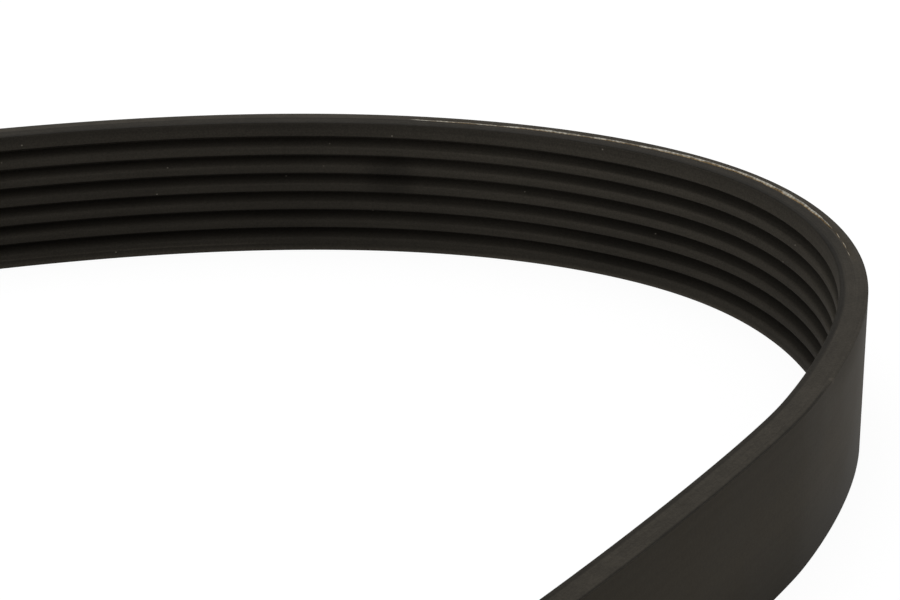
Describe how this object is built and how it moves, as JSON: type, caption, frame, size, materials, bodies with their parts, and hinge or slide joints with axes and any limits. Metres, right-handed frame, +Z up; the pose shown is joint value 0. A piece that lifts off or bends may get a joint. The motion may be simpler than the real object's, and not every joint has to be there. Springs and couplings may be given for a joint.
{
  "type": "serpentine belt",
  "caption": "Endless multi-rib rubber drive belt, ribbed inside and smooth outside, slack and standing on one cut edge as an oval loop.",
  "frame": {"origin": "middle of the loop's outer box, on the surface that the lower cut edge stands on", "axes": "+X along the loop's long axis, +Y across it, +Z up across the belt's width"},
  "size_m": [0.5056, 0.2264, 0.0249],
  "materials": {
    "belt_rubber": "matte",
    "tensile_cord": "matte"
  },
  "bodies": {
    "root": {"ribbed_belt": "belt_rubber"}
  },
  "joints": []
}
